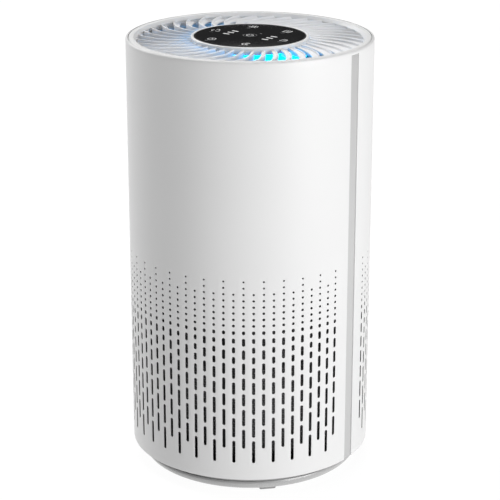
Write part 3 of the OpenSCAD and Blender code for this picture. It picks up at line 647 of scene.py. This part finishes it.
def shell_piece(name, node, mid, openings, blocked):
    """A half shell with rounded edges, its middle at the angle mid.

    Its depth attribute is 1 inside the holes and on the back, where painted shade darkens the white.
    """
    border, side, notch_z = shell_border()
    loops = [border] + openings
    points = [p for line in loops for p in line.points]
    flat, triangles = shell_triangles(loops, support_points(side, blocked), side, notch_z)

    bm = bmesh.new()
    depth = bm.verts.layers.float.new("depth")

    # dark is the painted shade of a vertex: 1 in the holes and on the back, 0 elsewhere.
    def new_vert(s, z, inwards, dark=0.0):
        vert = bm.verts.new(polar(BODY_R - inwards, mid + math.degrees(s / BODY_R), z))
        vert[depth] = dark
        return vert

    outer = [new_vert(p.x, p.y, 0) for p in flat]
    rings = [outer[:len(points)]]
    for step in range(1, BEVEL_STEPS + 1):
        turn = math.pi / 2 * step / BEVEL_STEPS
        ring = []
        for s, z, out_s, out_z, radius in points:
            # The painted shade starts at the last bevel step round each hole.
            dark = 1.0 if radius == HOLE_BEVEL and step == BEVEL_STEPS else 0.0
            ring.append(new_vert(s + out_s * math.sin(turn), z + out_z * math.sin(turn),
                                 radius * (1 - math.cos(turn)), dark))
        rings.append(ring)
    land, last = [], []
    for s, z, out_s, out_z, radius in points:
        if radius == HOLE_BEVEL:
            land.append(new_vert(s + out_s, z + out_z, LAND, 1.0))
            grow = 1 - FLARE / HOLE_BEVEL
        else:
            land.append(new_vert(s + out_s, z + out_z, WALL - LIP_BEVEL))
            grow = 1
        drop = LIP_BEVEL if radius == RIM_ROUND else 0
        last.append(new_vert(s + out_s * grow, z + out_z * grow - drop, WALL, 1.0))
    rings += [land, last]
    inner = last + [new_vert(p.x, p.y, WALL, 1.0) for p in flat[len(points):]]
    for a, b, c in triangles:
        bm.faces.new((outer[a], outer[b], outer[c]))
        bm.faces.new((inner[c], inner[b], inner[a]))
    first = 0
    for line in loops:
        count = len(line.points)
        for upper, lower in zip(rings, rings[1:]):
            for i in range(count):
                a, b = first + i, first + (i + 1) % count
                bm.faces.new((upper[a], upper[b], lower[b], lower[a]))
        first += count
    bmesh.ops.recalc_face_normals(bm, faces=bm.faces)
    finish_piece(bm, name, "shell_white", "housing", sharp=50, node=node)


def perforations(keep_out=None):
    """All openings of a shell; keep_out holds for the middle column and its neighbours."""
    found = []
    for i in range(-SIDE_COLUMNS, SIDE_COLUMNS + 1):
        long_column = i % 2 != 0
        rows = DOT_ROWS if long_column else DOT_ROWS - SKIPPED_ROWS
        slots = LONG_COLUMN if long_column else SHORT_COLUMN
        beside = keep_out if abs(i) < 2 else None
        found += column_openings(arc_length(i * COLUMN_STEP), rows, slots, beside)
    return found


inlet_mid_z = (INLET_LOW[2] + INLET_HIGH[2]) / 2
inlet_w = INLET_HIGH[0] - INLET_LOW[0]
inlet_h = INLET_HIGH[2] - INLET_LOW[2]
inlet_span = (inlet_mid_z - inlet_h / 2 - 2, inlet_mid_z + inlet_h / 2 + 2)
rear_openings = perforations(inlet_span)
rear_openings.append(window(0, inlet_mid_z, inlet_w + 0.2, inlet_h + 0.2))
inlet_block = [(0, inlet_mid_z, inlet_w / 2 + 1.2, inlet_h / 2 + 1.2)]
shell_piece("front_shell_skin", "front_shell", 0, perforations(), [])
shell_piece("rear_shell_skin", "rear_shell", 180, rear_openings, inlet_block)


# ---- Trim strips ----

def seam_strip(name, node, mid):
    """A strip with bevelled ends and steep grooves along its sides."""
    low, high = extent(node)
    half = math.degrees(math.asin((SEAM_W / 2 - 0.1) / BODY_R))
    face_r = BODY_R - 0.8
    back_r = INSIDE_R - 1.6
    edge = 0.4
    groove = 1.1
    edge_angle = math.degrees(edge / BODY_R)
    steps = 12
    bm = bmesh.new()
    rows = []
    for z, drop in ((low[2], edge), (low[2] + edge, 0), (high[2] - edge, 0), (high[2], edge)):
        row = []
        for i in range(steps + 1):
            part = -1 + 2 * i / steps
            angle = mid + part * (half - edge_angle)
            row.append(bm.verts.new(polar(face_r - drop, angle, z)))
        row.insert(0, bm.verts.new(polar(face_r - groove, mid - half, z)))
        row.append(bm.verts.new(polar(face_r - groove, mid + half, z)))
        row.append(bm.verts.new(polar(back_r, mid + half, z)))
        row.append(bm.verts.new(polar(back_r, mid - half, z)))
        rows.append(row)
    close_rows(bm, rows)
    bmesh.ops.recalc_face_normals(bm, faces=bm.faces)
    finish_piece(bm, name, "trim_grey", "housing", sharp=60, node=node)


seam_strip("seam_strip_left", "seam_trim_left", -90)
seam_strip("seam_strip_right", "seam_trim_right", 90)


# ---- Base cover and feet ----

def bowl(inset, steps=12):
    """The cover's rounded corner, from the flat underside up to the upright wall."""
    line = []
    for i in range(steps + 1):
        turn = math.radians(-90 + 90 * i / steps)
        line.append((BASE_R - COVER_ROUND_W + (COVER_ROUND_W - inset) * math.cos(turn),
                     BASE_LOW + inset + (COVER_ROUND_H - inset) * (1 + math.sin(turn))))
    return line


def half_moon(side, reach, steps=40):
    """The grip's opening on one side of the bar, counter-clockwise."""
    start = math.asin(GRIP_BAR / 2 / reach)
    line = []
    for i in range(steps + 1):
        turn = start + (math.pi - 2 * start) * i / steps
        line.append(Vector((reach * math.cos(turn), reach * math.sin(turn))) * side)
    return line


def disc_with_moons(bm, radius, reach, low, high, bevel, count=128):
    """A flat disc with the grip's two openings, their lower edges rounded off."""
    rim = [polar(radius, 90 + 360 * i / count).xy for i in range(count)]
    loops = [rim, half_moon(1, reach), half_moon(-1, reach)]
    flat = [p for loop in loops for p in loop]
    edges = []
    first = 0
    for loop in loops:
        edges += [(first + i, first + (i + 1) % len(loop)) for i in range(len(loop))]
        first += len(loop)
    _, _, faces, origin, _, _ = geometry.delaunay_2d_cdt(flat, edges, [], 0, 1e-4)
    triangles = []
    for face in faces:
        ids = [origin[v][0] for v in face]
        middle = sum((flat[v] for v in ids), Vector((0, 0))) / 3
        if middle.length > reach - 1e-3 or abs(middle.y) < GRIP_BAR / 2:
            triangles.append(ids)
    rings = []
    for level, grow in ((low, bevel), (low + bevel * 0.3, bevel * 0.3), (low + bevel, 0), (high, 0)):
        ring = [bm.verts.new((p.x, p.y, level)) for p in rim]
        for p in loops[1] + loops[2]:
            out = p.normalized() * grow
            if abs(p.y) <= GRIP_BAR / 2 + 0.01:
                out.y = -math.copysign(grow, p.y)
            ring.append(bm.verts.new((p.x + out.x, p.y + out.y, level)))
        rings.append(ring)
    for a, b, c in triangles:
        bm.faces.new((rings[0][c], rings[0][b], rings[0][a]))
        bm.faces.new((rings[-1][a], rings[-1][b], rings[-1][c]))
    first = 0
    for loop in loops:
        last = first + len(loop)
        for lower, upper in zip(rings, rings[1:]):
            face_ring(bm, lower[first:last], upper[first:last])
        first = last


def upright_ring(bm, outer, low, high, top_round, thickness=2.0):
    """A ring that stands up from the cover's floor, its upper edges rounded."""
    inner = outer - thickness
    lathe(bm, rounded([(inner, low, 0), (outer, low, 0),
                       (outer, high, top_round), (inner, high, top_round)]))


def base_cover_skin():
    """The bowl with its recessed lip, the finger grip, the inner rings and the bayonet's lugs."""
    floor_in = GRIP_R + 1.5
    lip_in = GROOVE_R - 1.2
    bm = bmesh.new()
    outline = [(floor_in, BASE_LOW, 0)] + [(r, z, 0) for r, z in bowl(0)[:-3]]
    outline += [(LEAN_LOW_R, LEAN_LOW_Z, 3.0), (LEAN_TOP_R, GROOVE_Z, 0.6)]
    outline += [(GROOVE_R, GROOVE_Z, 0), (GROOVE_R, COVER_EDGE, 0.3)]
    outline += [(lip_in, COVER_EDGE, 0.3), (lip_in, GROOVE_Z + 0.9, 0)]
    outline += [(r, z, 0) for r, z in reversed(bowl(COVER_WALL))]
    outline += [(floor_in, BASE_LOW + COVER_WALL, 0)]
    lathe(bm, rounded(outline))
    disc_with_moons(bm, GRIP_R + 1.6, GRIP_R, BASE_LOW, GRIP_TOP, 0.8)
    roof = [(0, GRIP_TOP - 0.1, 0), (GRIP_R + 2, GRIP_TOP - 0.1, 0)]
    roof += [(GRIP_R + 2, GRIP_TOP + 2, 0.6), (0, GRIP_TOP + 2, 0)]
    lathe(bm, rounded(roof))
    upright_ring(bm, GRIP_R + 2, BASE_LOW + 1, GRIP_TOP + 0.5, 0, thickness=1.6)
    upright_ring(bm, COLLAR_OUT, BASE_LOW + 1, BASE_HIGH, 0.4)
    upright_ring(bm, SUPPORT_OUT, BASE_LOW + 1, SUPPORT_TOP, 0.4)
    root, lug_low = COLLAR_OUT - 0.5, BASE_HIGH - LUG_H
    lug = rounded([(root, lug_low, 0), (LUG_OUT, lug_low, 0.4), (LUG_OUT, BASE_HIGH, 0.4),
                   (root, BASE_HIGH, 0)])
    for middle in (45, 135, 225, 315):
        lathe(bm, lug, middle - LUG_ANGLE / 2, middle + LUG_ANGLE / 2, 12)
    finish_piece(bm, "base_cover_skin", "base_grey", "cover", sharp=35, node="base_cover")


def foot_pad(name, node, angle):
    """A rubber pad with round corners and a soft lower edge."""
    round_steps = 6
    low, high = extent(node)
    middle = polar(FOOT_R, angle)
    out, side = polar(1, angle), polar(1, angle + 90)
    bm = bmesh.new()
    rows = []
    for z, inset in ((low[2], 0.7), (low[2] + 0.2, 0.25), (low[2] + 0.7, 0.0), (high[2], 0.0)):
        row = []
        for x, y, start in CORNERS:
            for i in range(round_steps + 1):
                turn = math.radians(start + 90 / round_steps * i)
                across = x * (FOOT_W / 2 - FOOT_CORNER) + (FOOT_CORNER - inset) * math.cos(turn)
                deep = y * (FOOT_D / 2 - FOOT_CORNER) + (FOOT_CORNER - inset) * math.sin(turn)
                row.append(bm.verts.new(middle + side * across + out * deep + Vector((0, 0, z))))
        rows.append(row)
    close_rows(bm, rows)
    bmesh.ops.recalc_face_normals(bm, faces=bm.faces)
    finish_piece(bm, name, "foot_rubber", "cover", sharp=50, node=node)


base_cover_skin()
for corner, angle in (("front_right", 45), ("rear_right", 135), ("rear_left", 225), ("front_left", 315)):
    foot_pad("foot_pad_" + corner, "foot_" + corner, angle)


# ---- Ring and grille on top ----

# The top ring: flat at its rim, a slope down to the vanes, a skirt inside and one outside.
top_out = INSIDE_R - 0.1
slope_r = 0.935 * BODY_R
slope_edge = DUCT_R + 0.3
ring_low = RIM_Z - 4.2
skirt_in = DUCT_R + 2.4
# The top ring's finish is a lighter copy of the shell's white: painted light.
turned_piece("top_ring_skin", rounded([
    (top_out, RIM_Z, 0.8), (slope_r, RIM_Z, 0.9), (slope_edge, RIM_Z - 2.7, 0.3),
    (slope_edge, ring_low, 0.1), (skirt_in, ring_low, 0), (skirt_in, RIM_Z - 18, 0),
    (skirt_in + 1.6, RIM_Z - 18, 0), (skirt_in + 1.6, RIM_Z - 3, 0), (top_out - 1.8, RIM_Z - 3, 0),
    (top_out - 1.8, RIM_Z - 20, 0), (top_out, RIM_Z - 20, 0)]),
    "shell_white", "ring_white_painted_light", "top_ring")


def vane_section(radius):
    """(along, depth) pairs round a vane, on the cylinder of one radius.

    An upright web, and a flange that lags behind it and falls, steeply at first, to its tip.
    """
    part = (radius - VANE_IN) / (VANE_OUT - VANE_IN)
    wide = math.radians(VANE_ANGLE + VANE_ANGLE_GROWTH * (radius - VANE_IN)) * radius
    fall = VANE_FALL + VANE_FALL_GROWTH * (1 - (1 - part) ** VANE_FALL_POWER)
    front = 0.2
    back = front - VANE_T
    bend = (-0.55 - 0.15 * wide, 0.55 * fall)
    return rounded([
        (front, 0, 0.45), (front, VANE_H, 0.4), (back, VANE_H, 0.4), (back, bend[1] + FLANGE_T, 0.4),
        (-wide, fall + FLANGE_T, 0.4), (-wide, fall, 0.5), (*bend, 0.6), (back + 0.35, 0, 0.45)])


def add_vane(bm, turn, steps=28):
    """A vane sweeps back on its way out from the collar to the outer ring."""
    rows = []
    for i in range(steps + 1):
        radius = VANE_IN + (VANE_OUT - VANE_IN) * i / steps
        u = (radius - VANE_IN) / BODY_R
        angle = turn + VANE_PHASE - (VANE_SWEEP[0] * u + VANE_SWEEP[1] * u * u)
        rows.append([bm.verts.new(polar(radius, angle + math.degrees(along / radius), VANE_TOP - depth))
                     for along, depth in vane_section(radius)])
    close_rows(bm, rows)


grille = bmesh.new()
grille_low = RIM_Z - GRILLE_DROP
lathe(grille, rounded([(DUCT_R, RIM_Z - 4.3, 0.3), (DUCT_R + 2.3, RIM_Z - 4.3, 0.3),
                       (DUCT_R + 2.3, grille_low, 0.3), (DUCT_R, grille_low, 0.3)]))
collar_top = VANE_TOP - 0.9
collar_low = collar_top - COLLAR_H
lathe(grille, rounded([(HUB_R - 1.9, collar_top, 0), (HUB_R + 0.2, collar_top, 0.3),
                       (HUB_R + 0.2, collar_low, 0.3), (HUB_R - 1.9, collar_low, 0)]))
for number in range(VANE_COUNT):
    add_vane(grille, number * 360 / VANE_COUNT)
bmesh.ops.recalc_face_normals(grille, faces=grille.faces)
finish_piece(grille, "outlet_vanes", "grille_white", "housing", sharp=40, node="outlet_grille")

turned_piece("light_guide_ring", rounded([
    (HUB_R - 1.9, GUIDE_LOW, 0.2), (HUB_R - 0.4, GUIDE_LOW, 0.3),
    (HUB_R - 0.25, GUIDE_LOW + 1, 0), (HUB_R - 0.25, GUIDE_HIGH, 0.1), (HUB_R - 1.9, GUIDE_HIGH, 0)]),
    "light_guide", node="light_ring")


# ---- Panel ----

bezel_low = VANE_TOP - 0.85
# The bezel's finish is a lighter copy of the shell's white: painted light.
turned_piece("panel_rim", rounded([
    (GLASS_R + 0.1, RIM_Z, 0.35), (HUB_R, RIM_Z, 0.8), (HUB_R, bezel_low, 0),
    (HUB_R - 4.5, bezel_low, 0), (HUB_R - 4.5, RIM_Z - 1.9, 0), (GLASS_R + 0.1, RIM_Z - 1.9, 0)]),
    "shell_white", "bezel_white_painted_light", "panel_bezel")

GLASS_TOP = RIM_Z - 0.06
PRINT_T = 0.03
turned_piece("panel_face", rounded([
    (0, GLASS_TOP, 0), (GLASS_R, GLASS_TOP, 0.35), (GLASS_R, RIM_Z - 1.8, 0.1), (0, RIM_Z - 1.8, 0)]),
    "panel_black", node="panel_glass")


class Symbols:
    """Flat printed strokes on the panel, gathered into one mesh."""

    def __init__(self):
        self.bm = bmesh.new()
        self.centre = Vector((0, 0))

    def at(self, centre):
        self.centre = Vector(centre)
        return self

    def ribbon(self, points, width, closed=False):
        """A stroke of one width along a line of points."""
        low, high = GLASS_TOP - 0.005, GLASS_TOP + PRINT_T
        points = [Vector(p) for p in points]
        count = len(points)
        rows = []
        for i, here in enumerate(points):
            before = points[i - 1] if closed or i > 0 else here
            after = points[(i + 1) % count] if closed or i < count - 1 else here
            along = (after - before).normalized()
            across = Vector((-along.y, along.x)) * width / 2
            left, right = self.centre + here + across, self.centre + here - across
            rows.append([self.bm.verts.new((p.x, p.y, z))
                         for p, z in ((left, low), (left, high), (right, high), (right, low))])
        pairs = list(zip(rows, rows[1:])) + ([(rows[-1], rows[0])] if closed else [])
        for a, b in pairs:
            face_ring(self.bm, a, b)
        if not closed:
            self.bm.faces.new(rows[0])
            self.bm.faces.new(list(reversed(rows[-1])))

    def arc(self, radius, first, last, width, centre=(0, 0)):
        steps = max(6, round(abs(last - first) / 12))
        closed = abs(last - first) >= 360
        stop = steps if closed else steps + 1
        points = []
        for i in range(stop):
            turn = math.radians(first + (last - first) * i / steps)
            points.append((centre[0] + radius * math.cos(turn), centre[1] + radius * math.sin(turn)))
        self.ribbon(points, width, closed)


STROKE = 0.5


def draw_power(s):
    s.arc(2.9, 120, 420, STROKE)
    s.ribbon([(0, 1.4), (0, 3.9)], STROKE)


def draw_fan(s):
    for k in range(3):
        turn = math.radians(90 + 120 * k)
        s.arc(1.7, 120 * k - 20, 120 * k + 170, STROKE, (2.3 * math.cos(turn), 2.3 * math.sin(turn)))


def draw_clock(s):
    s.arc(3.4, 0, 360, STROKE)
    s.ribbon([(0, 2.0), (0, 0), (1.5, -0.8)], STROKE)


def draw_moon(s):
    s.arc(3.4, 60, 330, STROKE)
    s.arc(2.7, 105, 285, STROKE, (1.9, 1.1))


def draw_lock(s):
    s.ribbon([(-2.6, -3.4), (2.6, -3.4), (2.6, 0.4), (-2.6, 0.4)], STROKE, True)
    s.arc(1.7, 0, 180, STROKE, (0, 0.9))


def draw_filter(s):
    for x in (-3.2, 0, 3.2):
        s.ribbon([(x, -2.6), (x, 2.6)], STROKE)
    s.ribbon([(-3.5, 2.9), (3.5, 2.9)], STROKE)
    s.ribbon([(-3.5, -2.9), (3.5, -2.9)], STROKE)


def draw_sun(s):
    s.arc(1.8, 0, 360, STROKE)
    for k in range(8):
        turn = math.radians(45 * k)
        c, d = math.cos(turn), math.sin(turn)
        s.ribbon([(2.9 * c, 2.9 * d), (4.3 * c, 4.3 * d)], STROKE)


def draw_level_bars(s):
    for row in (-1, 0, 1):
        s.ribbon([(-3.1, 6.4 * row), (3.1, 6.4 * row)], 1.7)


symbols = Symbols()
underlines = Symbols()
KEY_R = 0.335 * BODY_R
LEVEL_X = 0.19 * BODY_R
UNDERLINE_DROP = 7.4
for draw, angle in ((draw_fan, -90), (draw_clock, -30), (draw_moon, 30),
                    (draw_lock, 90), (draw_filter, 150), (draw_sun, 210)):
    key = polar(KEY_R, angle).xy
    draw(symbols.at(key))
    underlines.at(key - Vector((0, UNDERLINE_DROP))).ribbon([(-2, 0), (2, 0)], 0.5)
draw_power(symbols.at((0, 0)))
for side in (-1, 1):
    draw_level_bars(symbols.at((side * LEVEL_X, 0)))
underlines.at((0, 0)).arc(5.7, 0, 360, 0.4)
underlines.at((0.038 * BODY_R, 0.1 * BODY_R)).arc(0.6, 0, 360, 0.6)
for marks, name, finish in ((symbols, "panel_symbols", None),
                            (underlines, "panel_underlines", "faint_print")):
    bmesh.ops.recalc_face_normals(marks.bm, faces=marks.bm.faces)
    finish_piece(marks.bm, name, "icon_print", "housing", sharp=30, finish=finish)

border_in, border_out = GLASS_R - 1.1, GLASS_R - 0.4
border_low, border_high = GLASS_TOP - 0.05, GLASS_TOP + 0.02
turned_piece("panel_border", [(border_in, border_low), (border_out, border_low),
                              (border_out, border_high), (border_in, border_high)],
             "panel_black", "border_black")


# ---- Floor and light ----

def stage_material():
    """A white floor that gives off light, so that the object throws hardly any shadow on it."""
    material, shader = new_material("floor_white", (0.10, 0.10, 0.10), 0.9, specular=0.0)
    links = material.node_tree.links
    faint = noise(material, 3.0)
    shade = blend_colours(material, faint, (0.097, 0.097, 0.097), (0.10, 0.10, 0.10))
    links.new(shade, shader.inputs["Base Color"])
    shader.inputs["Emission Color"].default_value = (1, 1, 1, 1)
    shader.inputs["Emission Strength"].default_value = 0.94
    return material


floor_bm = bmesh.new()
bmesh.ops.create_grid(floor_bm, x_segments=8, y_segments=8, size=9)
floor_mesh = bpy.data.meshes.new("floor")
floor_bm.to_mesh(floor_mesh)
floor_bm.free()
floor_mesh.materials.append(stage_material())
floor = bpy.data.objects.new("floor", floor_mesh)
bpy.context.scene.collection.objects.link(floor)

world = bpy.data.worlds.new("studio")
bpy.context.scene.world = world
world.use_nodes = True
world.node_tree.nodes["Background"].inputs["Color"].default_value = (1, 1, 1, 1)
world.node_tree.nodes["Background"].inputs["Strength"].default_value = 0.02


def soft_light(name, angle, height, reach, size, power):
    """A rectangular area light, aimed at the middle of the object.

    The angle is counted from the camera's. Height, reach and size are in metres.
    """
    data = bpy.data.lights.new(name, "AREA")
    data.shape = "RECTANGLE"
    data.size, data.size_y = size
    data.energy = power
    light = bpy.data.objects.new(name, data)
    bpy.context.scene.collection.objects.link(light)
    light.location = polar(reach, CAMERA_ANGLE + angle, height)
    aim = Vector((0, 0, LIGHT_AIM_Z)) - light.location
    light.rotation_euler = aim.to_track_quat("-Z", "Y").to_euler()


LIGHT_AIM_Z = 0.2
WIDE, TALL, SQUARE = (1.4, 0.8), (1.4, 1.6), (1.4, 1.4)
soft_light("key", 50, 0.45, 2.4, WIDE, 30)
soft_light("key_high", 50, 1.3, 2.4, WIDE, 14)
soft_light("side", -130, 1.3, 2.4, WIDE, 27)
soft_light("side_high", -130, 2.4, 2.4, TALL, 14)
soft_light("back_left", -160, 2.4, 2.4, TALL, 28)
soft_light("back_right", 170, 2.4, 2.4, TALL, 22)
soft_light("top", 0, 2.4, 0.8, SQUARE, 16)
